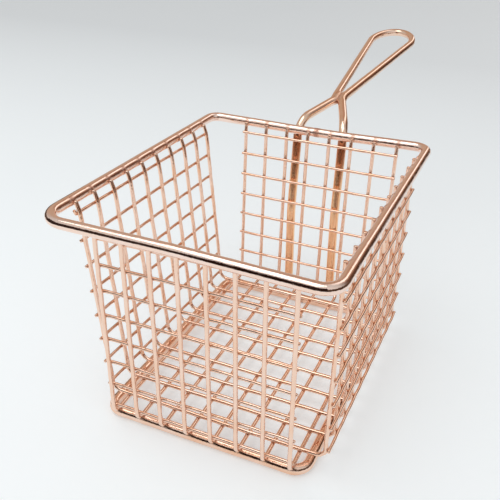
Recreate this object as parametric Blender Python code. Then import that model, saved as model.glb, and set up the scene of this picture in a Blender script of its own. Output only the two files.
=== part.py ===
"""Rectangular wire basket: a spot-welded mesh of thin wires inside a thick rim, standing on a thick base
ring, with a fixed loop handle welded to the back.

Metres, +Z up. The basket opens upwards and the handle points along +Y. The driving sizes are in
millimetres, measured from the middle of the basket's base; place() moves them into the object's frame,
whose origin is the bottom centre of the bounding box of the whole object.
"""

import math

import bmesh
import bpy
from mathutils import Quaternion, Vector

MM = 0.001

# Wire radii
FRAME_R = 2.0  # rim, base ring and handle
MESH_R = 0.8  # wires bent into a U, which make the floor and the uprights
ROW_R = 0.6  # straight cross wires on the four walls
GAP = 0.1  # clearance that stands in for each weld

# Rim and base ring, to the middle of the wire
RIM_HALF = (50.6, 62.5)
RIM_HEIGHT = 83.4
RIM_FRONT_CORNERS = (8.5, 6.0)  # bend radii, left and right
RIM_DROOP = (0.35, 1.2)  # how far inwards and down the front right corner is bent
RIM_DROOP_FROM = -46.0  # where along the right bar that bend begins
RIM_BACK_CORNERS = (4.5, 6.0)
RIM_BACK_LIFT = (0.45, 0.8)  # the back corners stand this far above the rest of the rim, left and right
RIM_SAG_R = 100.0  # the soft bends in the rim's bars
RING_X = 2.2  # the ring and the mesh sit a little to the right of the rim's centre line
RING_HALF = (39.7, 53.1)
RING_CORNER = 5.5

# Mesh
MESH_X = 3.0
LENGTHWAYS_WIRES = 8  # run front to back under the floor, and up both end walls
LENGTHWAYS_PITCH = 10.0
CROSSWAYS_WIRES = 10  # run left to right on top of them, and up both side walls
CROSSWAYS_PITCH = 10.5
END_WALL_FOOT = 57.4  # the front and back walls' half depth at the floor
LEFT_WALL_FOOT = -38.7
LEFT_WALL_HEAD = -46.6
LEFT_FLARE_Z = 80.0  # above this the left wall's uprights bend outwards to reach the rim
RIGHT_WALL_FOOT = 47.1
BEND_R = 3.2
FLARE_R = 4.0
WIRE_TOP = RIM_HEIGHT + 0.8
ROWS = 8
ROW_PITCH = 10.08
FRONT_ROW_DROP = 4.9  # top row below the middle of the rim, on each wall
BACK_ROW_DROP = 3.5
LEFT_ROW_DROP = 3.9
RIGHT_ROW_DROP = 2.8
ROW_OVERHANG = 1.1  # how far a row runs past the last upright

# Handle, measured across from its own centre plane
HANDLE_X = 1.4
LEG_X = 10.6
LEG_FOOT_Z = 6.7
LEG_FOOT_SHIFT = 2.1  # both legs drift this far to the right on the way down
LEG_OFFSET = 1.35  # a leg's middle behind the middle of the back wall's uprights
LEG_BEND_Z = 45.2  # from this height the legs lean back to pass outside the rim
LEG_BEND_R = 30.0
LEG_TURN_Z = 86.3
LEG_TURN_R = 10.0
NECK_X = 2.06
NECK = ((91.1, 90.8), (94.1, 92.2))  # y and z where the two wires come together and part again
NECK_R = (6.0, 9.5)
LOOP_X = 11.6
LOOP_SIDE_END = (190.4, 100.9)
LOOP_END = (210.3, 103.1)

# Mesh resolution
ARC_STEP = math.radians(15.0)
FRAME_SIDES = 16
WIRE_SIDES = 8
CHAMFER = 0.35  # of the radius, at each cut end
STRAIGHT = math.radians(1.0)

# Heights and faces that follow from the sizes above
RING_Z = FRAME_R * math.cos(math.pi / FRAME_SIDES)
LENGTHWAYS_Z = 2 * FRAME_R + GAP + MESH_R
CROSSWAYS_Z = LENGTHWAYS_Z + 2 * MESH_R + GAP
INSIDE_RIM = FRAME_R + MESH_R + GAP
END_WALL_HEAD = RIM_HALF[1] - INSIDE_RIM
SIDE_WALL_HEAD = RIM_HALF[0] - INSIDE_RIM
ROW_OFFSET = MESH_R + ROW_R + GAP
LEG_OUTSIDE_RIM = RIM_HALF[1] + 2 * FRAME_R + GAP
ORIGIN_Y = (LOOP_END[0] - RIM_HALF[1]) / 2

COPPER = (0.87, 0.52, 0.38)
DEEP_COPPER = (0.80, 0.42, 0.29)


def clear_scene():
    for item in list(bpy.data.objects):
        bpy.data.objects.remove(item, do_unlink=True)


def copper(name, colour, roughness):
    """A polished copper plate."""
    material = bpy.data.materials.new(name)
    material.use_nodes = True
    shader = material.node_tree.nodes["Principled BSDF"]
    shader.inputs["Base Color"].default_value = (*colour, 1.0)
    shader.inputs["Metallic"].default_value = 1.0
    shader.inputs["Roughness"].default_value = roughness
    material.diffuse_color = (*colour, 1.0)
    return material


def place(x, y, z):
    """A point given in millimetres from the middle of the basket's base, in the object's frame."""
    return Vector((x, y - ORIGIN_Y, z)) * MM


def arc_at(before, corner, after, radius):
    """The points of the arc that rounds one corner of a wire."""
    inward = (corner - before).normalized()
    outward = (after - corner).normalized()
    turn = inward.angle(outward)
    if turn < STRAIGHT:
        return [corner]
    start = corner - inward * radius * math.tan(turn / 2)
    centre = corner + (outward - inward).normalized() * radius / math.cos(turn / 2)
    axis = inward.cross(outward).normalized()
    steps = math.ceil(turn / ARC_STEP)
    spoke = start - centre
    return [centre + Quaternion(axis, turn * i / steps) @ spoke for i in range(steps + 1)]


def rounded(corners, radii, closed=False):
    """A wire's centre line: straight runs between corners that are bent to the given radii in mm."""
    count = len(corners)
    path = []
    for i, corner in enumerate(corners):
        if not closed and i in (0, count - 1):
            path.append(corner)
        else:
            path += arc_at(corners[i - 1], corner, corners[(i + 1) % count], radii[i] * MM)
    return path


def section(centre, before, after, normal, radius, sides):
    """One cross-section of a wire, mitred between the directions on either side of it."""
    along = (before + after).normalized()
    across = along.cross(normal)
    bend = after - before
    ring = []
    for i in range(sides):
        angle = 2 * math.pi * (i + 0.5) / sides
        offset = (normal * math.cos(angle) + across * math.sin(angle)) * radius
        if bend.length > 1e-6:
            outwards = bend.normalized()
            stretch = 1 / math.cos(before.angle(after) / 2) - 1
            offset += outwards * offset.dot(outwards) * stretch
        ring.append(centre + offset)
    return ring


def sections_along(path, radii, up, sides, closed):
    """The cross-sections at every point of a path, turned as little as possible from one to the next."""
    count = len(path)
    ahead = [(path[(i + 1) % count] - path[i]).normalized() for i in range(count)]
    if not closed:
        ahead[-1] = ahead[-2]
    behind = [ahead[i - 1] for i in range(count)]
    if not closed:
        behind[0] = ahead[0]
    tangents = [(a + b).normalized() for a, b in zip(behind, ahead)]
    normal = (up - tangents[0] * up.dot(tangents[0])).normalized()
    rings = []
    for i, centre in enumerate(path):
        if i:
            normal = tangents[i - 1].rotation_difference(tangents[i]) @ normal
        rings.append(section(centre, behind[i], ahead[i], normal, radii[i], sides))
    return rings


def with_chamfers(path, radius):
    """The path of an open wire and its radius at each point, with both cut ends chamfered."""
    cut = radius * CHAMFER
    head = path[0] + (path[1] - path[0]).normalized() * cut
    tail = path[-1] + (path[-2] - path[-1]).normalized() * cut
    points = [path[0], head, *path[1:-1], tail, path[-1]]
    radii = [radius - cut, *[radius] * (len(points) - 2), radius - cut]
    return points, radii


def wire(name, path, radius_mm, up, material, sides=WIRE_SIDES, closed=False):
    """One length of wire as its own closed solid."""
    radius = radius_mm * MM
    if closed:
        points, radii = path, [radius] * len(path)
    else:
        points, radii = with_chamfers(path, radius)
    rings = sections_along(points, radii, Vector(up), sides, closed)

    shape = bmesh.new()
    loops = [[shape.verts.new(point) for point in ring] for ring in rings]
    spans = zip(loops, loops[1:] + loops[:1]) if closed else zip(loops, loops[1:])
    for first, second in spans:
        for i in range(sides):
            j = (i + 1) % sides
            face = shape.faces.new((first[i], first[j], second[j], second[i]))
            face.smooth = True
    if not closed:
        shape.faces.new(loops[0])
        shape.faces.new(loops[-1])
    bmesh.ops.recalc_face_normals(shape, faces=shape.faces)

    mesh = bpy.data.meshes.new(name)
    shape.to_mesh(mesh)
    shape.free()
    mesh.materials.append(material)
    item = bpy.data.objects.new(name, mesh)
    bpy.context.scene.collection.objects.link(item)
    return item


def rim(material):
    """A closed rounded rectangle of thick wire, with raised back corners and a drooping front right one."""
    x, y = RIM_HALF
    front_left, front_right = RIM_FRONT_CORNERS
    back_left, back_right = RIM_BACK_CORNERS
    left_lift, right_lift = RIM_BACK_LIFT
    inwards, down = RIM_DROOP
    bends = [
        ((x - inwards, -y, RIM_HEIGHT - down), front_right),
        ((x, RIM_DROOP_FROM, RIM_HEIGHT), RIM_SAG_R),
        ((x, y, RIM_HEIGHT + right_lift), back_right),
        ((HANDLE_X + LEG_X, y, RIM_HEIGHT), RIM_SAG_R),
        ((HANDLE_X - LEG_X, y, RIM_HEIGHT), RIM_SAG_R),
        ((-x, y, RIM_HEIGHT + left_lift), back_left),
        ((-x, -y, RIM_HEIGHT), front_left),
        ((0.0, -y, RIM_HEIGHT), RIM_SAG_R),
    ]
    path = rounded([place(*corner) for corner, _ in bends], [radius for _, radius in bends], closed=True)
    wire("rim", path, FRAME_R, (0, 0, 1), material, FRAME_SIDES, closed=True)


def base_ring(material):
    """A closed rounded rectangle of thick wire, lying flat."""
    x, y = RING_HALF
    corners = [place(RING_X + sx * x, sy * y, RING_Z) for sx, sy in ((1, -1), (1, 1), (-1, 1), (-1, -1))]
    path = rounded(corners, [RING_CORNER] * 4, closed=True)
    wire("base_ring", path, FRAME_R, (0, 0, 1), material, FRAME_SIDES, closed=True)


def lean(foot, head, floor_z, z):
    """How far out a wall stands at a height."""
    return foot + (head - foot) * (z - floor_z) / (RIM_HEIGHT - floor_z)


def end_wall(z):
    """Half the depth between the uprights of the front and back walls."""
    return lean(END_WALL_FOOT, END_WALL_HEAD, LENGTHWAYS_Z, z)


def left_wall(z):
    """The left wall's uprights, which flare out near the top until they touch the rim."""
    if z <= LEFT_FLARE_Z:
        return lean(LEFT_WALL_FOOT, LEFT_WALL_HEAD, CROSSWAYS_Z, z)
    start = lean(LEFT_WALL_FOOT, LEFT_WALL_HEAD, CROSSWAYS_Z, LEFT_FLARE_Z)
    rise = (z - LEFT_FLARE_Z) / (WIRE_TOP - LEFT_FLARE_Z)
    return start + (-SIDE_WALL_HEAD - start) * rise


def right_wall(z):
    return lean(RIGHT_WALL_FOOT, SIDE_WALL_HEAD, CROSSWAYS_Z, z)


def lengthways_x(i):
    return MESH_X + (i - (LENGTHWAYS_WIRES - 1) / 2) * LENGTHWAYS_PITCH


def crossways_y(i):
    return (i - (CROSSWAYS_WIRES - 1) / 2) * CROSSWAYS_PITCH


def lengthways_wires(material):
    """U-shaped wires: down the front wall, back under the floor and up the back wall."""
    top = end_wall(WIRE_TOP)
    for i in range(LENGTHWAYS_WIRES):
        x = lengthways_x(i)
        corners = [
            place(x, -top, WIRE_TOP),
            place(x, -END_WALL_FOOT, LENGTHWAYS_Z),
            place(x, END_WALL_FOOT, LENGTHWAYS_Z),
            place(x, top, WIRE_TOP),
        ]
        path = rounded(corners, [BEND_R] * 4)
        wire(f"lengthways_wire_{i + 1}", path, MESH_R, (1, 0, 0), material)


def crossways_wires(material):
    """U-shaped wires: down the left wall, across the floor and up the right wall."""
    for i in range(CROSSWAYS_WIRES):
        y = crossways_y(i)
        corners = [
            place(left_wall(WIRE_TOP), y, WIRE_TOP),
            place(left_wall(LEFT_FLARE_Z), y, LEFT_FLARE_Z),
            place(LEFT_WALL_FOOT, y, CROSSWAYS_Z),
            place(RIGHT_WALL_FOOT, y, CROSSWAYS_Z),
            place(right_wall(WIRE_TOP), y, WIRE_TOP),
        ]
        path = rounded(corners, [0.0, FLARE_R, BEND_R, BEND_R, 0.0])
        wire(f"crossways_wire_{i + 1}", path, MESH_R, (0, 1, 0), material)


def rows(material):
    """The straight cross wires: inside the uprights on the end walls, outside them on the side walls."""
    x_from = lengthways_x(0) - ROW_OVERHANG
    x_to = lengthways_x(LENGTHWAYS_WIRES - 1) + ROW_OVERHANG
    y_to = crossways_y(CROSSWAYS_WIRES - 1) + ROW_OVERHANG
    for i in range(ROWS):
        top = RIM_HEIGHT - i * ROW_PITCH
        front_z = top - FRONT_ROW_DROP
        back_z = top - BACK_ROW_DROP
        left_z = top - LEFT_ROW_DROP
        right_z = top - RIGHT_ROW_DROP
        front_y = ROW_OFFSET - end_wall(front_z)
        back_y = end_wall(back_z) - ROW_OFFSET
        left_x = left_wall(left_z) - ROW_OFFSET
        right_x = right_wall(right_z) + ROW_OFFSET
        runs = {
            "front": (place(x_from, front_y, front_z), place(x_to, front_y, front_z)),
            "back": (place(x_from, back_y, back_z), place(x_to, back_y, back_z)),
            "left": (place(left_x, -y_to, left_z), place(left_x, y_to, left_z)),
            "right": (place(right_x, -y_to, right_z), place(right_x, y_to, right_z)),
        }
        for wall, ends in runs.items():
            wire(f"{wall}_row_{i + 1}", list(ends), ROW_R, (0, 0, 1), material)


def leg_y(z):
    """The middle of a leg above its bend, on the straight line that just clears the outside of the rim."""
    start = end_wall(LEG_BEND_Z) + LEG_OFFSET
    rise = (z - LEG_BEND_Z) / (RIM_HEIGHT - LEG_BEND_Z)
    return start + (LEG_OUTSIDE_RIM - start) * rise


def leg_shift(z):
    return LEG_FOOT_SHIFT * (LEG_TURN_Z - z) / (LEG_TURN_Z - LEG_FOOT_Z)


def handle_side(side):
    """The middle line of one side of the handle, 1 for the right or -1 for the left, in mm."""
    corners = [
        (side * LEG_X + leg_shift(LEG_FOOT_Z), end_wall(LEG_FOOT_Z) + LEG_OFFSET, LEG_FOOT_Z),
        (side * LEG_X + leg_shift(LEG_BEND_Z), leg_y(LEG_BEND_Z), LEG_BEND_Z),
        (side * LEG_X, leg_y(LEG_TURN_Z), LEG_TURN_Z),
        (side * NECK_X, *NECK[0]),
        (side * NECK_X, *NECK[1]),
        (side * LOOP_X, *LOOP_SIDE_END),
    ]
    radii = [0.0, LEG_BEND_R, LEG_TURN_R, *NECK_R, 0.0]
    path = rounded([Vector(corner) * MM for corner in corners], radii)
    return [point / MM for point in path]


def handle_end():
    """The rounded far end of the loop, from one side's last point to the other's, as a half ellipse."""
    steps = round(math.pi / ARC_STEP)
    rise = (LOOP_END[0] - LOOP_SIDE_END[0], LOOP_END[1] - LOOP_SIDE_END[1])
    points = []
    for i in range(1, steps):
        angle = math.pi * i / steps
        reach = math.sin(angle)
        points.append((
            LOOP_X * math.cos(angle),
            LOOP_SIDE_END[0] + rise[0] * reach,
            LOOP_SIDE_END[1] + rise[1] * reach,
        ))
    return points


def handle(material):
    """One thick wire: up one leg, through the neck, round the loop and back down the other leg."""
    left_side = reversed(handle_side(-1))
    points = [*handle_side(1), *handle_end(), *left_side]
    path = [place(HANDLE_X + x, y, z) for x, y, z in points]
    wire("handle", path, FRAME_R, (1, 0, 0), material, FRAME_SIDES)


def main():
    clear_scene()
    rim(copper("rim_copper", COPPER, 0.12))
    base_ring(copper("ring_copper", DEEP_COPPER, 0.15))
    lengthways_wires(copper("mesh_copper", COPPER, 0.2))
    crossways_wires(copper("cross_copper", COPPER, 0.2))
    rows(copper("row_copper", COPPER, 0.22))
    handle(copper("handle_copper", COPPER, 0.14))


main()
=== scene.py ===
"""Wire serving basket in polished copper plate: round wires swept along the CAD's centre lines, with the spot
welds, cut ends, bending marks and slight waviness of hand-welded wire, on a pale floor under soft light."""

import itertools
import math
import random

import bpy
import numpy as np
from mathutils import Matrix, Vector
from mathutils.kdtree import KDTree

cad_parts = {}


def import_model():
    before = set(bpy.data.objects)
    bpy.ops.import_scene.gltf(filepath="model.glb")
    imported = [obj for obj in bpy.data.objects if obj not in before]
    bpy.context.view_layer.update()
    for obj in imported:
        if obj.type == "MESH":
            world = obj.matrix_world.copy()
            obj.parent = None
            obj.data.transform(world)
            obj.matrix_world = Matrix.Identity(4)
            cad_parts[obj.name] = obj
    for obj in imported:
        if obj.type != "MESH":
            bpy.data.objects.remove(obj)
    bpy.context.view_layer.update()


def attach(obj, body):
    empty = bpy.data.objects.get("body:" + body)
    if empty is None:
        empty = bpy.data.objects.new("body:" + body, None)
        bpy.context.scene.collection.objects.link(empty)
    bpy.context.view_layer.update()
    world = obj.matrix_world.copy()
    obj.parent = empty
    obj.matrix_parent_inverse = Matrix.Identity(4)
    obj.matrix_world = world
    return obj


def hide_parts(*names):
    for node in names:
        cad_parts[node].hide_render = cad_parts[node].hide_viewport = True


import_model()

MM = 0.001
BODY = "root"
SEED = 7

# ---------------------------------------------------------------- sizes in mm, as in the CAD

FRAME_R = 2.0
MESH_R = 0.8
ROW_R = 0.6
GAP = 0.1

RIM_HALF = (50.6, 62.5)
RIM_HEIGHT = 83.4
RIM_FRONT_CORNERS = (8.5, 6.0)
RIM_DROOP = (0.35, 1.2)  # how far the front right corner is bent inwards and down
RIM_DROOP_FROM = -46.0
RIM_BACK_CORNERS = (4.5, 6.0)
RIM_BACK_LIFT = (0.45, 0.8)  # how much higher the back corners are, left and right
RIM_SAG_R = 100.0  # the soft bends where the lift and the droop start
RING_X = 2.2
RING_HALF = (39.7, 53.1)
RING_CORNER = 5.5

MESH_X = 3.0
LENGTHWAYS_WIRES = 8
LENGTHWAYS_PITCH = 10.0
CROSSWAYS_WIRES = 10
CROSSWAYS_PITCH = 10.5
END_WALL_FOOT = 57.4
LEFT_WALL_FOOT = -38.7
LEFT_WALL_HEAD = -46.6
LEFT_FLARE_Z = 80.0
RIGHT_WALL_FOOT = 47.1
BEND_R = 3.2
FLARE_R = 4.0
WIRE_TOP = RIM_HEIGHT + 0.8
FRONT_TUCK = 0.4  # how far below the rim's middle the front wall's uprights are cut
STRAIGHT_R = 0.0  # the bend radius at a wire's ends, and at a point on a straight run
ROWS = 8
ROW_PITCH = 10.08
ROW_DROP = {"front": 4.9, "back": 3.5, "left": 3.9, "right": 2.8}  # from the rim to each wall's top row
ROW_OVERHANG = 1.1
STUB_LIFT = 1.5  # how far the near end of the left wall's top row is bent up
STUB_OUT = 0.3
STUB_LENGTH = 0.5

HANDLE_X = 1.4
LEG_X = 10.6
LEG_FOOT_Z = 6.7
LEG_FOOT_SHIFT = 2.1  # how far the legs' feet are to the right of their turns
LEG_OFFSET = 1.35
LEG_BEND_Z = 45.2
LEG_BEND_R = 30.0
LEG_TURN_Z = 86.3
LEG_TURN_R = 10.0
NECK_X = 1.95
NECK = ((91.1, 90.8), (94.1, 92.2))  # y and z, as in the loop's ends below
NECK_R = (6.0, 9.5)
LOOP_X = 11.6
LOOP_SIDE_END = (190.4, 100.9)
LOOP_END = (210.3, 103.1)

RING_Z = FRAME_R
LENGTHWAYS_Z = 2 * FRAME_R + GAP + MESH_R
CROSSWAYS_Z = LENGTHWAYS_Z + 2 * MESH_R + GAP
INSIDE_RIM = FRAME_R + MESH_R + GAP
END_WALL_HEAD = RIM_HALF[1] - INSIDE_RIM
SIDE_WALL_HEAD = RIM_HALF[0] - INSIDE_RIM
ROW_OFFSET = MESH_R + ROW_R + GAP
LEG_OUTSIDE_RIM = RIM_HALF[1] + 2 * FRAME_R + GAP

ORIGIN_Y = (LOOP_END[0] - RIM_HALF[1]) / 2

# ---------------------------------------------------------------- centre lines, from the basket's middle

ARC_STEP = math.radians(5.0)
STRAIGHT = math.radians(1.0)  # a corner that turns by less than this isn't rounded
BASE_STEP = 0.4  # spacing of the dense centre line that contacts are looked for on


def arc_at(before, corner, after, radius):
    """The points of the arc that rounds one corner of a wire."""
    inward = (corner - before) / np.linalg.norm(corner - before)
    outward = (after - corner) / np.linalg.norm(after - corner)
    turn = math.acos(max(-1.0, min(1.0, float(inward @ outward))))
    if turn < STRAIGHT:
        return [corner]
    start = corner - inward * radius * math.tan(turn / 2)
    towards = outward - inward
    centre = corner + towards / np.linalg.norm(towards) * radius / math.cos(turn / 2)
    axis = np.cross(inward, outward)
    axis /= np.linalg.norm(axis)
    steps = math.ceil(turn / ARC_STEP)
    spoke = start - centre
    points = []
    for i in range(steps + 1):
        angle = turn * i / steps
        points.append(centre + spoke * math.cos(angle) + np.cross(axis, spoke) * math.sin(angle))
    return points


def rounded(corners, radii, closed=False):
    """Straight runs between corners that are bent to the given radii."""
    corners = [np.array(corner, float) for corner in corners]
    count = len(corners)
    path = []
    for i, corner in enumerate(corners):
        if not closed and i in (0, count - 1):
            path.append(corner)
        else:
            path += arc_at(corners[i - 1], corner, corners[(i + 1) % count], radii[i])
    if closed:
        path.append(path[0])
    return np.array(path)


def lean(foot, head, floor_z, z):
    """How far out a leaning wall stands at height z."""
    return foot + (head - foot) * (z - floor_z) / (RIM_HEIGHT - floor_z)


def end_wall(z):
    return lean(END_WALL_FOOT, END_WALL_HEAD, LENGTHWAYS_Z, z)


def left_wall(z):
    if z <= LEFT_FLARE_Z:
        return lean(LEFT_WALL_FOOT, LEFT_WALL_HEAD, CROSSWAYS_Z, z)
    start = left_wall(LEFT_FLARE_Z)
    return start + (-SIDE_WALL_HEAD - start) * (z - LEFT_FLARE_Z) / (WIRE_TOP - LEFT_FLARE_Z)


def right_wall(z):
    return lean(RIGHT_WALL_FOOT, SIDE_WALL_HEAD, CROSSWAYS_Z, z)


def lengthways_x(i):
    return MESH_X + (i - (LENGTHWAYS_WIRES - 1) / 2) * LENGTHWAYS_PITCH


def crossways_y(i):
    return (i - (CROSSWAYS_WIRES - 1) / 2) * CROSSWAYS_PITCH


def rim_path():
    """A closed rounded rectangle with raised back corners and a drooping front right one."""
    x, y = RIM_HALF
    front_left, front_right = RIM_FRONT_CORNERS
    back_left, back_right = RIM_BACK_CORNERS
    left_lift, right_lift = RIM_BACK_LIFT
    inwards, down = RIM_DROOP
    bends = [
        ((HANDLE_X, y, RIM_HEIGHT), STRAIGHT_R),
        ((HANDLE_X - LEG_X, y, RIM_HEIGHT), RIM_SAG_R),
        ((-x, y, RIM_HEIGHT + left_lift), back_left),
        ((-x, -y, RIM_HEIGHT), front_left),
        ((0.0, -y, RIM_HEIGHT), RIM_SAG_R),
        ((x - inwards, -y, RIM_HEIGHT - down), front_right),
        ((x, RIM_DROOP_FROM, RIM_HEIGHT), RIM_SAG_R),
        ((x, y, RIM_HEIGHT + right_lift), back_right),
        ((HANDLE_X + LEG_X, y, RIM_HEIGHT), RIM_SAG_R),
    ]
    return rounded([corner for corner, _ in bends], [radius for _, radius in bends], closed=True)


def ring_path():
    """A closed rounded rectangle, lying flat."""
    x, y = RING_HALF
    signs = ((-1, 1), (-1, -1), (1, -1), (1, 1))
    corners = [(RING_X, y, RING_Z), *[(RING_X + sx * x, sy * y, RING_Z) for sx, sy in signs]]
    return rounded(corners, [STRAIGHT_R, *[RING_CORNER] * 4], closed=True)


def lengthways_path(i):
    """A U: down the front wall from just under the rim's middle, along the floor, and up the back wall."""
    x = lengthways_x(i)
    front_top = RIM_HEIGHT - FRONT_TUCK - RIM_DROOP[1] * max(0.0, x) / RIM_HALF[0]
    corners = [
        (x, -end_wall(front_top), front_top),
        (x, -END_WALL_FOOT, LENGTHWAYS_Z),
        (x, END_WALL_FOOT, LENGTHWAYS_Z),
        (x, end_wall(WIRE_TOP), WIRE_TOP),
    ]
    return rounded(corners, [STRAIGHT_R, BEND_R, BEND_R, STRAIGHT_R])


def crossways_path(i):
    """A U: down the left wall from its flared top, across the floor, and up the right wall."""
    y = crossways_y(i)
    corners = [
        (left_wall(WIRE_TOP), y, WIRE_TOP),
        (left_wall(LEFT_FLARE_Z), y, LEFT_FLARE_Z),
        (LEFT_WALL_FOOT, y, CROSSWAYS_Z),
        (RIGHT_WALL_FOOT, y, CROSSWAYS_Z),
        (right_wall(WIRE_TOP), y, WIRE_TOP),
    ]
    return rounded(corners, [STRAIGHT_R, FLARE_R, BEND_R, BEND_R, STRAIGHT_R])


def row_path(wall, i):
    """A level wire: inside the uprights at the front and back, outside them at the sides."""
    z = RIM_HEIGHT - i * ROW_PITCH - ROW_DROP[wall]
    x_ends = (lengthways_x(0) - ROW_OVERHANG, lengthways_x(LENGTHWAYS_WIRES - 1) + ROW_OVERHANG)
    y_end = crossways_y(CROSSWAYS_WIRES - 1) + ROW_OVERHANG
    if wall == "front":
        return [(x, ROW_OFFSET - end_wall(z), z) for x in x_ends]
    if wall == "back":
        return [(x, end_wall(z) - ROW_OFFSET, z) for x in x_ends]
    if wall == "left":
        x = left_wall(z) - ROW_OFFSET
        near = [(x, -y_end, z)]
        if i == 0:
            near = [(x - STUB_OUT, -y_end, z + STUB_LIFT), (x, STUB_LENGTH - y_end, z)]
        return [*near, (x, y_end, z)]
    return [(right_wall(z) + ROW_OFFSET, y, z) for y in (-y_end, y_end)]


def leg_y(z):
    """How far back the handle's legs stand: along the back wall, then out over the rim."""
    start = end_wall(LEG_BEND_Z) + LEG_OFFSET
    return start + (LEG_OUTSIDE_RIM - start) * (z - LEG_BEND_Z) / (RIM_HEIGHT - LEG_BEND_Z)


def leg_shift(z):
    """How far the legs lean to the right below their turn."""
    return LEG_FOOT_SHIFT * (LEG_TURN_Z - z) / (LEG_TURN_Z - LEG_FOOT_Z)


def handle_side(side):
    """One half of the handle: up the back wall, over the rim to the neck, and along the loop."""
    corners = [
        (side * LEG_X + leg_shift(LEG_FOOT_Z), end_wall(LEG_FOOT_Z) + LEG_OFFSET, LEG_FOOT_Z),
        (side * LEG_X + leg_shift(LEG_BEND_Z), leg_y(LEG_BEND_Z), LEG_BEND_Z),
        (side * LEG_X, leg_y(LEG_TURN_Z), LEG_TURN_Z),
        (side * NECK_X, *NECK[0]),
        (side * NECK_X, *NECK[1]),
        (side * LOOP_X, *LOOP_SIDE_END),
    ]
    return rounded(corners, [STRAIGHT_R, LEG_BEND_R, LEG_TURN_R, *NECK_R, STRAIGHT_R])


def handle_path():
    """Both halves, joined by half an ellipse at the loop's end."""
    steps = round(math.pi / ARC_STEP)
    rise = (LOOP_END[0] - LOOP_SIDE_END[0], LOOP_END[1] - LOOP_SIDE_END[1])
    end = []
    for i in range(1, steps):
        angle = math.pi * i / steps
        reach = math.sin(angle)
        end.append((
            LOOP_X * math.cos(angle),
            LOOP_SIDE_END[0] + rise[0] * reach,
            LOOP_SIDE_END[1] + rise[1] * reach,
        ))
    path = np.vstack([handle_side(1), end, handle_side(-1)[::-1]])
    path[:, 0] += HANDLE_X
    return path


# ---------------------------------------------------------------- wires


class Wire:
    """One length of wire: its centre line, the marks on it, and the CAD node that it stands for."""

    def __init__(self, node, path, radius, sides, step, slot, closed=False):
        self.node = node
        self.radius = radius
        self.sides = sides
        self.step = step
        self.slot = slot
        self.closed = closed
        self.random = random.Random(f"{SEED} {node}")
        path = np.array(path, float)
        lengths = np.linalg.norm(np.diff(path, axis=0), axis=1)
        knots = np.concatenate([[0.0], np.cumsum(lengths)])
        self.length = float(knots[-1])
        count = max(2, round(self.length / BASE_STEP) + 1)
        self.s = np.linspace(0.0, self.length, count)
        self.points = np.stack([np.interp(self.s, knots, path[:, k]) for k in range(3)], axis=1)
        self.marks = []  # (s, direction, bulge, reach along the wire, sink)
        self.bends = []  # s of bends with tool marks
        self.seams = []  # s of butt welds

    def at(self, s):
        s = np.asarray(s, float)
        if self.closed:
            s = np.mod(s, self.length)
        return np.stack([np.interp(s, self.s, self.points[:, k]) for k in range(3)], axis=-1)

    def tangent(self, s):
        reach = BASE_STEP * 0.75
        if self.closed:
            ahead = self.at(s + reach) - self.at(s - reach)
        else:
            ahead = self.at(np.minimum(s + reach, self.length)) - self.at(np.maximum(s - reach, 0.0))
        return ahead / np.linalg.norm(ahead, axis=-1, keepdims=True)


RING_WIRE = (FRAME_R, 32, 1.5)  # radius, sides, and spacing of the cross-sections
HANDLE_WIRE = (FRAME_R, 32, 1.2)
MESH_WIRE = (MESH_R, 12, 2.0)
ROW_WIRE = (ROW_R, 12, 2.0)


def all_wires():
    wires = [
        Wire("rim", rim_path(), *RING_WIRE, "rim_copper", closed=True),
        Wire("base_ring", ring_path(), *RING_WIRE, "ring_copper", closed=True),
        Wire("handle", handle_path(), *HANDLE_WIRE, "handle_copper"),
    ]
    for i in range(LENGTHWAYS_WIRES):
        wires.append(Wire(f"lengthways_wire_{i + 1}", lengthways_path(i), *MESH_WIRE, "mesh_copper"))
    for i in range(CROSSWAYS_WIRES):
        wires.append(Wire(f"crossways_wire_{i + 1}", crossways_path(i), *MESH_WIRE, "cross_copper"))
    for wall in ("front", "back", "left", "right"):
        for i in range(ROWS):
            wires.append(Wire(f"{wall}_row_{i + 1}", row_path(wall, i), *ROW_WIRE, "row_copper"))
    return wires


# ---------------------------------------------------------------- welds

TOUCH = 0.35  # surfaces closer than this are welded
PRESSED = 0.06  # how far a welded mesh wire is pressed in
NUGGET_BULGE = (0.22, 0.36)  # of the thinner wire's radius
NUGGET_REACH = (0.85, 1.1)
NECK_BULGE = (0.25, 0.5)
NECK_REACH = 1.1
NECK_SHARES = (-1.0, 0.0, 1.0)  # where the neck's welds are, along the wire from each of its bends


def find_welds(wires):
    """Marks each wire where another comes within TOUCH of it: where, in which direction, and how strongly."""
    total = sum(len(w.s) for w in wires)
    tree = KDTree(total)
    owner = []
    for k, w in enumerate(wires):
        for i, point in enumerate(w.points):
            tree.insert(point, len(owner))
            owner.append((k, i))
    tree.balance()
    for k, w in enumerate(wires):
        found = {}
        reach = w.radius + FRAME_R + TOUCH
        for i, point in enumerate(w.points):
            for _, index, distance in tree.find_range(point, reach):
                other, j = owner[index]
                if other == k or distance > w.radius + wires[other].radius + TOUCH:
                    continue
                kept = found.setdefault(other, {})
                if i not in kept or distance < kept[i][0]:
                    kept[i] = (distance, j)
        for other, hits in sorted(found.items()):
            for group in runs_of(sorted(hits)):
                best = min(group, key=lambda i: hits[i][0])
                distance, j = hits[best]
                towards = wires[other].points[j] - w.points[best]
                towards /= np.linalg.norm(towards)
                add_weld(w, w.s[best], towards, wires[other].radius, distance)


def runs_of(indices):
    """Splits sorted indices into runs of neighbours."""
    groups = [[indices[0]]]
    for i in indices[1:]:
        if i - groups[-1][-1] <= 2:
            groups[-1].append(i)
        else:
            groups.append([i])
    return groups


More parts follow.
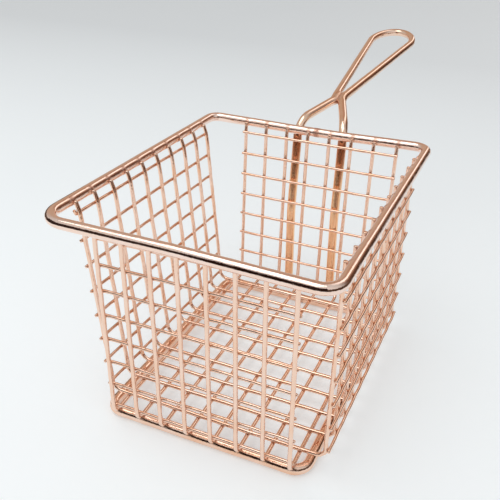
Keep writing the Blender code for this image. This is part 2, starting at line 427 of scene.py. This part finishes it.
def add_workshop_marks(wires):
    """Butt welds of the closed wires, tool marks at the handle's bends, and the weld where its legs meet."""
    rim, ring, handle = wires[:3]
    rim.seams.append(0.0)
    ring.seams.append(0.0)
    corners = [(LEG_X, LEG_OUTSIDE_RIM, LEG_TURN_Z), (NECK_X, *NECK[0]), (NECK_X, *NECK[1])]
    for x, y, z in corners:
        for side in (-1, 1):
            handle.bends.append(nearest(handle, (HANDLE_X + side * x, y, z)))
    for (y, z), share in itertools.product(NECK, NECK_SHARES):
        for side in (-1, 1):
            place = nearest(handle, (HANDLE_X + side * NECK_X, y, z)) + share
            bulge = handle.random.uniform(*NECK_BULGE)
            handle.marks.append((place, np.array([-side, 0.0, 0.0]), bulge, NECK_REACH, 0.0))


def nearest(w, point):
    """The distance along the wire at which it passes closest to a point."""
    return float(w.s[np.argmin(np.linalg.norm(w.points - np.array(point), axis=1))])


def add_weld(w, s, towards, other_radius, distance):
    """A nugget that bridges the gap to the other wire; a mesh wire also bends in until the two meet."""
    small = min(w.radius, other_radius)
    gap = distance - w.radius - other_radius
    bulge = gap / 2 + small * w.random.uniform(*NUGGET_BULGE)
    reach = small * w.random.uniform(*NUGGET_REACH)
    sink = gap / 2 + PRESSED if w.radius < FRAME_R else 0.0
    w.marks.append((float(s), towards, bulge, reach, sink))


# ---------------------------------------------------------------- surfaces

NEAR_WELD = (-1.6, -1.1, -0.75, -0.45, -0.2, 0.0, 0.2, 0.45, 0.75, 1.1, 1.6)
NEAR_SEAM = (-2.0, -1.4, -1.0, -0.7, -0.45, -0.25, -0.1, 0.1, 0.25, 0.45, 0.7, 1.0, 1.4, 2.0)
CUT_END = ((0.0, 0.62), (0.08, 0.84), (0.25, 0.96), (0.55, 1.0))  # distance and radius, in wire radii
END_CLEAR = 0.8  # no other cross-section comes closer to a cut end, in wire radii
LEAST_STEP = 0.13  # the smallest spacing of cross-sections, in wire radii
THICK_WANDER = (0.05, (140.0, 61.0, 27.0))  # how far a wire strays from its line, and over which lengths
THIN_WANDER = (0.045, (47.0, 23.0, 11.0))
UNEVEN = (0.006, (9.0, 3.7))  # the same for its radius, in wire radii
STEEP = 0.8  # the cosine to +Z beyond which a wire starts out steep
NUGGET_EDGE = 2.5  # how steeply a nugget falls off round the wire
HEATED = 1.5  # how far the dulled plate reaches, in nuggets
HEATED_BACK = 0.35  # how dull it is on the wire's far side
SINK_REACH = 2.2
SEAM_RIDGE = (0.10, 0.85)  # height and reach
SEAM_GROOVE = (0.07, 0.22)
SEAM_HEATED = 1.6
TOOL_MARKS = 7  # at each bend
TOOL_REACH = 3.5
TOOL_SIZE = (0.8, 1.8)
TOOL_DEPTH = (0.03, 0.07)
TOOL_EDGE = 6
CUT_TILT = (0.1, 0.3)  # in wire radii
CUT_DOME = 0.07
CUT_WORN = 0.6  # how dull a cut end is, on the weld attribute's scale
RUN_SHIFT = 400.0  # so that no two wires show the same stretch of plate


def stations(w):
    """Where the cross-sections go: evenly along the wire, and closer at welds, seams and cut ends."""
    count = math.ceil(w.length / w.step)
    places = [w.length * i / count for i in range(count + 1)]
    for s, _, _, reach, _ in w.marks:
        places += [s + reach * offset for offset in NEAR_WELD]
    for s in w.seams:
        places += [s + offset for offset in NEAR_SEAM]
    if w.closed:
        places = [s % w.length for s in places]
    else:
        clear = w.radius * END_CLEAR
        inner = [s for s in places if clear < s < w.length - clear]
        ends = [share * w.radius for share, _ in CUT_END]
        places = inner + ends + [w.length - end for end in ends]
    places = sorted(places)
    kept = [places[0]]
    least = LEAST_STEP * w.radius
    for s in places[1:]:
        if s - kept[-1] > least:
            kept.append(s)
    if w.closed and w.length - kept[-1] < least:
        kept.pop()
    return np.array(kept)


def waves(w, s, amplitude, wavelengths):
    """A smooth random offset along a wire, the sum of a few waves."""
    total = np.zeros_like(s)
    for wavelength in wavelengths:
        turns = w.length / wavelength
        if w.closed:
            turns = max(1, round(turns))
        phase = w.random.uniform(0, 2 * math.pi)
        total += np.sin(2 * math.pi * turns * s / w.length + phase) * w.random.uniform(0.5, 1.0)
    return total * amplitude / len(wavelengths)


def bell(w, s, centre, reach):
    """1 at a place on the wire, falling away smoothly on both sides."""
    away = np.abs(s - centre)
    if w.closed:
        away = np.minimum(away, w.length - away)
    return np.exp(-0.5 * (away / reach) ** 2)


def frames_along(w, s):
    """The direction of the wire at each cross-section, and a steady pair of directions across it."""
    tangents = w.tangent(s)
    normal = np.array([0.0, 0.0, 1.0])
    if abs(tangents[0] @ normal) > STEEP:
        normal = np.array([1.0, 0.0, 0.0])
    normals = []
    for tangent in tangents:
        normal = normal - tangent * (normal @ tangent)
        normal = normal / np.linalg.norm(normal)
        normals.append(normal)
    normals = np.array(normals)
    return tangents, normals, np.cross(tangents, normals)


def add_nuggets(w, s, out, radius, weld, centre):
    """Raises the weld nuggets and bends the wire in at them; returns the new centre line and weld values."""
    for place, towards, bulge, reach, sink in w.marks:
        facing = np.clip(out @ towards, 0.0, 1.0)
        radius += bulge * bell(w, s, place, reach)[:, None] * facing ** NUGGET_EDGE
        wide = bell(w, s, place, reach * HEATED)
        weld = np.maximum(weld, wide[:, None] * (HEATED_BACK + (1 - HEATED_BACK) * facing))
        if sink:
            slack = bell(w, s, place, SINK_REACH)
            centre = centre + towards[None, :] * (sink * slack)[:, None]
    return centre, weld


def add_seams(w, s, angles, radius, weld):
    """Raises a ridge with a groove in it at each butt weld; returns the new weld values."""
    for place in w.seams:
        ridge = SEAM_RIDGE[0] * bell(w, s, place, SEAM_RIDGE[1])
        groove = SEAM_GROOVE[0] * bell(w, s, place, SEAM_GROOVE[1])
        lopsided = 1.0 + 0.5 * np.cos(angles + w.random.uniform(0, 6))
        radius += (ridge - groove)[:, None] * lopsided[None, :]
        weld = np.maximum(weld, bell(w, s, place, SEAM_HEATED)[:, None])
    return weld


def press_tool_marks(w, s, angles, radius):
    """Presses shallow dents into the wire round each bend."""
    rng = w.random
    for place in w.bends:
        near = bell(w, s, place, TOOL_REACH)
        for _ in range(TOOL_MARKS):
            spot = bell(w, s, place + rng.uniform(-TOOL_REACH, TOOL_REACH), rng.uniform(*TOOL_SIZE))
            side = np.clip(np.cos(angles - rng.uniform(0, 2 * math.pi)), 0, 1) ** TOOL_EDGE
            radius -= rng.uniform(*TOOL_DEPTH) * (near * spot)[:, None] * side[None, :]


def cut_ends(w, s, angles, radius):
    """Rounds both cut ends off; returns how far each point slides along the wire, as the cuts are slanted."""
    slide = np.zeros_like(radius)
    for from_end, sign in ((s, 1), (w.length - s, -1)):
        share = np.interp(from_end / w.radius, *zip(*CUT_END))
        radius *= share[:, None]
        tilt = w.random.uniform(*CUT_TILT) * w.radius
        turn = w.random.uniform(0, 2 * math.pi)
        fade = np.clip(1 - from_end / (2 * w.radius), 0, 1)
        slide += fade[:, None] * tilt * np.cos(angles - turn)[None, :] * sign * 0.5
    return slide


def tube_faces(sides, rings, closed):
    """The quads between neighbouring cross-sections."""
    faces = []
    for i in range(rings if closed else rings - 1):
        first = i * sides
        second = ((i + 1) % rings) * sides
        for k in range(sides):
            j = (k + 1) % sides
            faces.append((first + k, second + k, second + j, first + j))
    return faces


def cap_faces(ring, middle, at_end):
    """The triangles between a cut end's last cross-section and the point in its middle."""
    if at_end:
        ring = ring[::-1]
    return [(middle, first, second) for first, second in zip(ring, ring[1:] + ring[:1])]


def surface(w):
    """Vertices, faces and the two attributes of one wire."""
    s = stations(w)
    centre = w.at(s)
    tangents, normals, across = frames_along(w, s)
    wander = THICK_WANDER if w.radius >= FRAME_R else THIN_WANDER
    for direction in (normals, across):
        centre = centre + direction * waves(w, s, *wander)[:, None]

    angles = 2 * math.pi * np.arange(w.sides) / w.sides
    out = (normals[:, None, :] * np.cos(angles)[None, :, None]
           + across[:, None, :] * np.sin(angles)[None, :, None])
    radius = np.full((len(s), w.sides), w.radius)
    radius += waves(w, s, UNEVEN[0] * w.radius, UNEVEN[1])[:, None]
    centre, weld = add_nuggets(w, s, out, radius, np.zeros_like(radius), centre)
    weld = add_seams(w, s, angles, radius, weld)
    press_tool_marks(w, s, angles, radius)
    slide = np.zeros_like(radius) if w.closed else cut_ends(w, s, angles, radius)

    points = centre[:, None, :] + out * radius[:, :, None] + tangents[:, None, :] * slide[:, :, None]
    vertices = points.reshape(-1, 3)
    run = np.zeros_like(points)
    run[:, :, 0] = s[:, None]
    run[:, :, 1] = w.radius * np.cos(angles)[None, :]
    run[:, :, 2] = w.radius * np.sin(angles)[None, :]
    run = run.reshape(-1, 3)
    weld = np.clip(weld, 0, 1).reshape(-1)
    rings = len(s)
    faces = tube_faces(w.sides, rings, w.closed)
    if not w.closed:
        for end in (0, rings - 1):
            ring = list(range(end * w.sides, (end + 1) * w.sides))
            dome = tangents[end] * w.radius * CUT_DOME * (1 if end else -1)
            tip = vertices[ring].mean(axis=0) + dome
            faces += cap_faces(ring, len(vertices), at_end=end > 0)
            vertices = np.vstack([vertices, tip])
            run = np.vstack([run, [s[end], 0.0, 0.0]])
            weld = np.append(weld, CUT_WORN)
    run[:, 0] += w.random.uniform(0, RUN_SHIFT)
    return vertices, faces, run, weld


def build_piece(w, material):
    """One wire's mesh, in metres, tied to its CAD node."""
    vertices, faces, run, weld = surface(w)
    mesh = bpy.data.meshes.new(w.node + "_wire")
    placed = (vertices - [0.0, ORIGIN_Y, 0.0]) * MM
    mesh.from_pydata(placed.tolist(), [], faces)
    mesh.shade_smooth()
    attribute = mesh.attributes.new("run", "FLOAT_VECTOR", "POINT")
    attribute.data.foreach_set("vector", run.astype(np.float32).ravel())
    attribute = mesh.attributes.new("weld", "FLOAT", "POINT")
    attribute.data.foreach_set("value", weld.astype(np.float32))
    mesh.materials.append(material)
    mesh.validate()
    piece = bpy.data.objects.new(w.node + "_wire", mesh)
    bpy.context.scene.collection.objects.link(piece)
    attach(piece, BODY)
    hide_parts(w.node)


# ---------------------------------------------------------------- materials


class Nodes:
    """A short way to add nodes and join them."""

    def __init__(self, tree):
        self.tree = tree

    def add(self, kind, inputs=None, **settings):
        node = self.tree.nodes.new(kind)
        for key, value in settings.items():
            setattr(node, key, value)
        for key, value in (inputs or {}).items():
            self.set(node.inputs[key], value)
        return node

    def set(self, socket, value):
        if isinstance(value, bpy.types.NodeSocket):
            self.tree.links.new(value, socket)
        else:
            socket.default_value = value

    def math(self, operation, a, b, clamp=False):
        node = self.add("ShaderNodeMath", {0: a, 1: b}, operation=operation, use_clamp=clamp)
        return node.outputs[0]

    def mix(self, factor, a, b):
        node = self.add("ShaderNodeMix", data_type="RGBA")
        self.set(node.inputs["Factor"], factor)
        for key, colour in (("A", a), ("B", b)):
            self.set(node.inputs[key], (*colour, 1.0) if isinstance(colour, tuple) else colour)
        return node.outputs["Result"]

    def between(self, value, low, high, to_low=0.0, to_high=1.0):
        node = self.add("ShaderNodeMapRange", {
            "Value": value, "From Min": low, "From Max": high, "To Min": to_low, "To Max": to_high,
        })
        return node.outputs[0]

    def band(self, value, rise, fall):
        """1 between the two ramps, and 0 outside them."""
        return self.math("MULTIPLY", self.between(value, *rise), self.between(value, *fall, 1.0, 0.0))

    def noise(self, vector, scale, detail, roughness):
        node = self.add("ShaderNodeTexNoise", {
            "Vector": vector, "Scale": scale, "Detail": detail, "Roughness": roughness,
        })
        return node.outputs["Fac"]


COPPER = (0.95, 0.70, 0.57)
# partly a painted highlight: the rim's base colour is a paler, pinker copper than the other wires' to stand
# in for its bright highlights
RIM_SHEEN_PINK = (0.95, 0.74, 0.65)
DEEP = (0.92, 0.57, 0.39)
HANDLE_DEEP = (0.90, 0.62, 0.44)
LENGTHWAYS_DEEP = (0.93, 0.63, 0.47)
ROW_COPPER = (0.95, 0.69, 0.56)
WORN_THIN = (0.97, 0.80, 0.73)
HEAT_TINT = (0.42, 0.15, 0.07)
SPECK_BROWN = (0.22, 0.09, 0.05)
LEG_ORANGE = (1.0, 0.62, 0.37)
# painted shade: dark red for a band on the handle's legs just under the rim
UNDER_RIM_SHADE_RED = (0.66, 0.22, 0.10)

LINE_DEPTH = 0.016  # mm, as the three below
PEEL_DEPTH = 0.034
WELD_DEPTH = 0.10
SPECK_DEPTH = 0.015
DULLER_AT = {"heat": 0.22, "speck": 0.2}  # added to the roughness, as the two below
CLOUD_DULLER = 0.07
LEGS_DULLER = 0.14
LEG_DULL_BELOW = 0.082  # m, just under the rim
LEG_DULL_FADE = 0.004
# painted shade: how far below the legs' dull line the dark red band under the rim fades in and out
UNDER_RIM_SHADE_FADE = (0.022, 0.006)


def plate_patterns(n, lines, twist):
    """What varies over a plated wire. The run attribute holds the distance along the wire and the place round
    it, in mm; the weld attribute is 1 where heat has dulled the plate."""
    run = n.add("ShaderNodeAttribute", attribute_name="run").outputs["Vector"]
    weld = n.add("ShaderNodeAttribute", attribute_name="weld").outputs["Fac"]
    turned = run
    if twist:
        along = n.add("ShaderNodeSeparateXYZ", {"Vector": run}).outputs[0]
        angle = n.math("MULTIPLY", along, twist)
        rotate = n.add("ShaderNodeVectorRotate", {"Vector": run, "Angle": angle}, rotation_type="X_AXIS")
        turned = rotate.outputs[0]
    drawn = n.add("ShaderNodeMapping", {"Vector": turned, "Scale": (0.05, 1.0, 1.0)}).outputs[0]
    coarse = n.add("ShaderNodeMapping", {"Vector": run, "Scale": (0.35, 1.0, 1.0)}).outputs[0]
    grain = n.noise(run, scale=4.5, detail=3.0, roughness=0.6)
    specks = n.noise(run, scale=2.6, detail=4.0, roughness=0.7)
    return {
        "lines": n.noise(drawn, scale=lines, detail=2.0, roughness=0.6),
        "cloud": n.noise(coarse, scale=0.35, detail=3.0, roughness=0.5),
        "patch": n.noise(coarse, scale=1.1, detail=2.0, roughness=0.5),
        "peel": n.noise(run, scale=1.3, detail=2.0, roughness=0.5),
        "grain": grain,
        "speck": n.between(specks, 0.70, 0.76),
        "weld": weld,
        "heat": n.between(n.math("ADD", weld, n.math("MULTIPLY", grain, 0.9)), 1.0, 1.5),
    }


def plate_colour(n, pattern, colour, deep):
    """Cloudy copper with paler worn patches, a heat tint at the welds, and brown specks."""
    shade = n.mix(n.between(pattern["cloud"], 0.35, 0.7), colour, deep)
    pale = tuple(c * 0.55 + w * 0.45 for c, w in zip(colour, WORN_THIN))
    shade = n.mix(n.between(pattern["patch"], 0.62, 0.75, 0.0, 0.5), shade, pale)
    shade = n.mix(n.math("MULTIPLY", pattern["heat"], 0.8), shade, HEAT_TINT)
    return n.mix(n.math("MULTIPLY", pattern["speck"], 0.5), shade, SPECK_BROWN)


def plate_roughness(n, pattern, roughness, streak):
    """Streaked by the drawing lines, and duller at welds, specks and clouds."""
    rough = n.between(pattern["lines"], 0.25, 0.75, roughness * (1 - streak), roughness * (1 + streak))
    for key, more in DULLER_AT.items():
        rough = n.math("ADD", rough, n.math("MULTIPLY", pattern[key], more))
    return n.math("ADD", rough, n.between(pattern["cloud"], 0.45, 0.75, 0.0, CLOUD_DULLER), clamp=True)


def plate_bump(n, pattern):
    """Drawing lines, a slight orange peel, grainy welds, and pits at the specks."""
    lines = n.math("MULTIPLY", pattern["lines"], LINE_DEPTH)
    peel = n.math("MULTIPLY", pattern["peel"], PEEL_DEPTH)
    weld = n.math("MULTIPLY", n.math("MULTIPLY", pattern["weld"], pattern["grain"]), WELD_DEPTH)
    height = n.math("ADD", n.math("ADD", lines, peel), weld)
    height = n.math("SUBTRACT", height, n.math("MULTIPLY", pattern["speck"], SPECK_DEPTH))
    return n.add("ShaderNodeBump", {"Height": height, "Strength": 1.0, "Distance": MM}).outputs[0]


def dull_legs(n, pattern, shade, rough):
    """The legs below the rim: orange and duller plate, with painted shade at the top: a dark red band just
    under the rim.
    """
    place = n.add("ShaderNodeTexCoord").outputs["Object"]
    height = n.add("ShaderNodeSeparateXYZ", {"Vector": place}).outputs[2]
    dull = n.between(height, LEG_DULL_BELOW, LEG_DULL_BELOW - LEG_DULL_FADE)
    # painted shade: a dark red band just under the rim, broken up by the grain
    rim_shade = n.between(height, *(LEG_DULL_BELOW - fade for fade in UNDER_RIM_SHADE_FADE))
    rim_shade = n.math("MULTIPLY", rim_shade, dull)
    rim_shade = n.math("MULTIPLY", rim_shade, n.between(pattern["grain"], 0.35, 0.6, 0.5, 0.9))
    shade = n.mix(rim_shade, n.mix(dull, shade, LEG_ORANGE), UNDER_RIM_SHADE_RED)
    return shade, n.math("ADD", rough, n.math("MULTIPLY", dull, LEGS_DULLER))


def copper(name, colour, deep, roughness, lines, twist=0.0, streak=0.5, legs=False):
    """Polished copper plate over drawn wire."""
    material = bpy.data.materials.new(name)
    material.use_nodes = True
    n = Nodes(material.node_tree)
    shader = material.node_tree.nodes["Principled BSDF"]
    shader.inputs["Metallic"].default_value = 1.0
    pattern = plate_patterns(n, lines, twist)
    shade = plate_colour(n, pattern, colour, deep)
    rough = plate_roughness(n, pattern, roughness, streak)
    if legs:
        shade, rough = dull_legs(n, pattern, shade, rough)
    n.set(shader.inputs["Base Color"], shade)
    n.set(shader.inputs["Roughness"], rough)
    n.set(shader.inputs["Normal"], plate_bump(n, pattern))
    return material


def materials():
    return {
        # the rim's pinker base colour is partly a painted highlight
        "rim_copper": copper("rim_plate", RIM_SHEEN_PINK, COPPER, 0.07, lines=3.2, twist=0.35, streak=0.8),
        "ring_copper": copper("ring_plate", COPPER, DEEP, 0.10, lines=3.0, twist=0.2),
        "handle_copper": copper("handle_plate", COPPER, HANDLE_DEEP, 0.08, lines=3.0, twist=0.3, legs=True),
        "mesh_copper": copper("lengthways_plate", COPPER, LENGTHWAYS_DEEP, 0.07, lines=6.0),
        "cross_copper": copper("crossways_plate", COPPER, DEEP, 0.07, lines=6.0),
        "row_copper": copper("row_plate", ROW_COPPER, DEEP, 0.07, lines=7.0),
    }


# ---------------------------------------------------------------- stage

CAMERA_AT = (90.96, -217.87, 179.76)  # mm from the basket's middle, as the sizes above
YAW, PITCH, ROLL = (math.radians(angle) for angle in (23.34, 28.10, 1.31))
LENS = 49.04  # mm, for a sensor SENSOR_WIDTH wide
SENSOR_WIDTH = 36.0


def camera():
    """Looks along a line that is YAW to the left of +Y and PITCH below level, with a slight ROLL."""
    forward = Vector((-math.sin(YAW) * math.cos(PITCH), math.cos(YAW) * math.cos(PITCH), -math.sin(PITCH)))
    level = Vector((math.cos(YAW), math.sin(YAW), 0.0))
    upright = level.cross(forward)
    right = level * math.cos(ROLL) + upright * math.sin(ROLL)
    up = upright * math.cos(ROLL) - level * math.sin(ROLL)
    data = bpy.data.cameras.new("camera")
    data.lens = LENS
    data.sensor_width = SENSOR_WIDTH
    data.clip_start = 0.01
    data.clip_end = 50.0
    item = bpy.data.objects.new("camera", data)
    bpy.context.scene.collection.objects.link(item)
    turn = Matrix((right, up, -forward)).transposed().to_4x4()
    x, y, z = CAMERA_AT
    item.matrix_world = Matrix.Translation(Vector((x, y - ORIGIN_Y, z)) * MM) @ turn
    bpy.context.scene.camera = item


def sheet(name, corners, colour, roughness):
    """One flat face of the stage."""
    mesh = bpy.data.meshes.new(name)
    mesh.from_pydata([Vector(corner) for corner in corners], [], [tuple(range(len(corners)))])
    item = bpy.data.objects.new(name, mesh)
    bpy.context.scene.collection.objects.link(item)
    material = bpy.data.materials.new(name)
    material.use_nodes = True
    shader = material.node_tree.nodes["Principled BSDF"]
    shader.inputs["Base Color"].default_value = (*colour, 1.0)
    shader.inputs["Roughness"].default_value = roughness
    mesh.materials.append(material)
    return item, shader


FLOOR_REACH = 4.0  # m, as every length on the stage
FLOOR_COLOUR = (0.79, 0.825, 0.84)
FLOOR_MOTTLE = (0.785, 0.82, 0.835)
FLOOR_BEHIND = (0.57, 0.595, 0.61)
FLOOR_RIGHT = (0.72, 0.73, 0.735)
FLOOR_GLOW = 0.36  # light that keeps the shadows on the sheet pale


def stage_floor():
    """A pale sheet that falls into shade behind the object and a little to its right."""
    far = FLOOR_REACH
    corners = [(-far, -far, 0), (far, -far, 0), (far, far, 0), (-far, far, 0)]
    item, shader = sheet("floor", corners, FLOOR_COLOUR, 0.55)
    n = Nodes(item.active_material.node_tree)
    place = n.add("ShaderNodeTexCoord").outputs["Object"]
    x, y, _ = n.add("ShaderNodeSeparateXYZ", {"Vector": place}).outputs
    mottle = n.noise(place, scale=3.0, detail=4.0, roughness=0.6)
    tint = n.mix(n.between(mottle, 0.3, 0.7), FLOOR_COLOUR, FLOOR_MOTTLE)
    tint = n.mix(n.between(y, -0.10, 0.55), tint, FLOOR_BEHIND)
    tint = n.mix(n.between(x, -0.35, 0.45, 0.0, 0.5), tint, FLOOR_RIGHT)
    n.set(shader.inputs["Base Color"], tint)
    n.set(shader.inputs["Emission Color"], tint)
    shader.inputs["Emission Strength"].default_value = FLOOR_GLOW
    shader.inputs["Specular IOR Level"].default_value = 0.1


CARD_BANDS = (
    # first and last angle from the front, counted to the right; distance; lower and upper edge; colour
    (-125.0, -75.0, 0.32, 0.020, 0.140, (0.13, 0.09, 0.07)),
    (-75.0, -20.0, 0.32, 0.020, 0.200, (0.05, 0.03, 0.025)),
    (-20.0, 35.0, 0.32, 0.004, 0.270, (0.025, 0.009, 0.006)),
    (35.0, 85.0, 0.32, 0.004, 0.160, (0.10, 0.055, 0.035)),
    (85.0, 132.0, 0.32, 0.010, 0.150, (0.12, 0.07, 0.045)),
    (136.0, 147.0, 0.50, 0.001, 0.190, (0.08, 0.045, 0.03)),
    (151.0, 159.0, 0.80, 0.001, 0.240, (0.09, 0.05, 0.03)),
    (164.0, 170.0, 0.80, 0.001, 0.200, (0.12, 0.07, 0.04)),
)
CARD_WIDTH = 10.0  # degrees, at most


def card_corners(angles, away, low, high):
    """An upright card between two angles round the basket's middle."""
    middle = Vector((0.0, -ORIGIN_Y * MM, 0.0))
    left, right = (middle + away * Vector((math.sin(angle), -math.cos(angle), 0.0)) for angle in angles)
    bottom = Vector((0.0, 0.0, low))
    top = Vector((0.0, 0.0, high))
    return [left + bottom, right + bottom, right + top, left + top]


def dark_cards():
    """The darker room round the table, seen only in reflections."""
    number = itertools.count(1)
    for first, last, away, low, high, colour in CARD_BANDS:
        count = math.ceil((last - first) / CARD_WIDTH)
        edges = [math.radians(first + (last - first) * k / count) for k in range(count + 1)]
        for angles in itertools.pairwise(edges):
            item, shader = sheet(f"card_{next(number)}", card_corners(angles, away, low, high), colour, 1.0)
            shader.inputs["Specular IOR Level"].default_value = 0.0
            item.visible_camera = False
            item.visible_diffuse = False
            item.visible_shadow = False
            item.visible_transmission = False


ROOM_BEHIND = (0.46, 0.47, 0.47)
ROOM_FRONT = (0.80, 0.80, 0.80)
ROOM_LEFT = (0.60, 0.61, 0.61)
BACKDROP = (0.70, 0.73, 0.75)
TAN_RIGHT = (0.44, 0.28, 0.20)
TAN_LEFT = (0.53, 0.40, 0.31)
DUSK = (0.13, 0.06, 0.04)
GLEAM = (1.40, 1.34, 1.28)


def striped_backdrop(n, x, z):
    """Warm stripes that fan out from behind the object, by the angle from the right, in radians."""
    angle = n.math("ARCTAN2", z, x)
    shade = n.mix(n.between(angle, 1.75, 2.2), TAN_RIGHT, TAN_LEFT)
    shade = n.mix(n.band(angle, (0.10, 0.35), (0.60, 0.85)), shade, DUSK)
    return n.mix(n.band(angle, (1.00, 1.15), (1.40, 1.60)), shade, GLEAM)


def world():
    """A pale room, brighter in front. Only reflections see the striped backdrop behind."""
    sky = bpy.data.worlds.new("room")
    bpy.context.scene.world = sky
    sky.use_nodes = True
    sky.node_tree.nodes.clear()
    n = Nodes(sky.node_tree)
    way = n.add("ShaderNodeTexCoord").outputs["Generated"]
    x, y, z = n.add("ShaderNodeSeparateXYZ", {"Vector": way}).outputs
    ray = n.add("ShaderNodeLightPath").outputs
    shade = n.mix(n.between(y, -0.7, 0.5, 1.0, 0.0), ROOM_BEHIND, ROOM_FRONT)
    shade = n.mix(n.between(x, -0.9, 0.2, 0.6, 0.0), shade, ROOM_LEFT)
    behind = n.math("MULTIPLY", n.between(y, 0.0, 0.6), ray["Is Glossy Ray"])
    shade = n.mix(behind, shade, striped_backdrop(n, x, z))
    light = n.add("ShaderNodeBackground", {"Color": shade, "Strength": 1.0})
    plain = n.add("ShaderNodeBackground", {"Color": (*BACKDROP, 1.0), "Strength": 1.0})
    both = n.add("ShaderNodeMixShader", {0: ray["Is Camera Ray"], 1: light.outputs[0], 2: plain.outputs[0]})
    n.add("ShaderNodeOutputWorld", {"Surface": both.outputs[0]})


LAMP_AT = (-0.25, -0.35, 1.1)
LAMP_TARGET = (0.0, -0.05, 0.0)
LAMP_SIZE = (0.9, 0.7)
LAMP_POWER = 3.3


def lights():
    """One broad soft lamp overhead, a little to the front and left."""
    data = bpy.data.lights.new("overhead", "AREA")
    data.shape = "RECTANGLE"
    data.size, data.size_y = LAMP_SIZE
    data.energy = LAMP_POWER
    item = bpy.data.objects.new("overhead", data)
    bpy.context.scene.collection.objects.link(item)
    item.location = LAMP_AT
    item.rotation_mode = "QUATERNION"
    item.rotation_quaternion = (Vector(LAMP_TARGET) - Vector(LAMP_AT)).to_track_quat("-Z", "Y")


# ---------------------------------------------------------------- all together


def main():
    camera()
    world()
    lights()
    stage_floor()
    dark_cards()
    wires = all_wires()
    find_welds(wires)
    add_workshop_marks(wires)
    finish = materials()
    for w in wires:
        build_piece(w, finish[w.slot])
    scene = bpy.context.scene
    scene.view_settings.view_transform = "Standard"
    scene.view_settings.look = "None"


main()
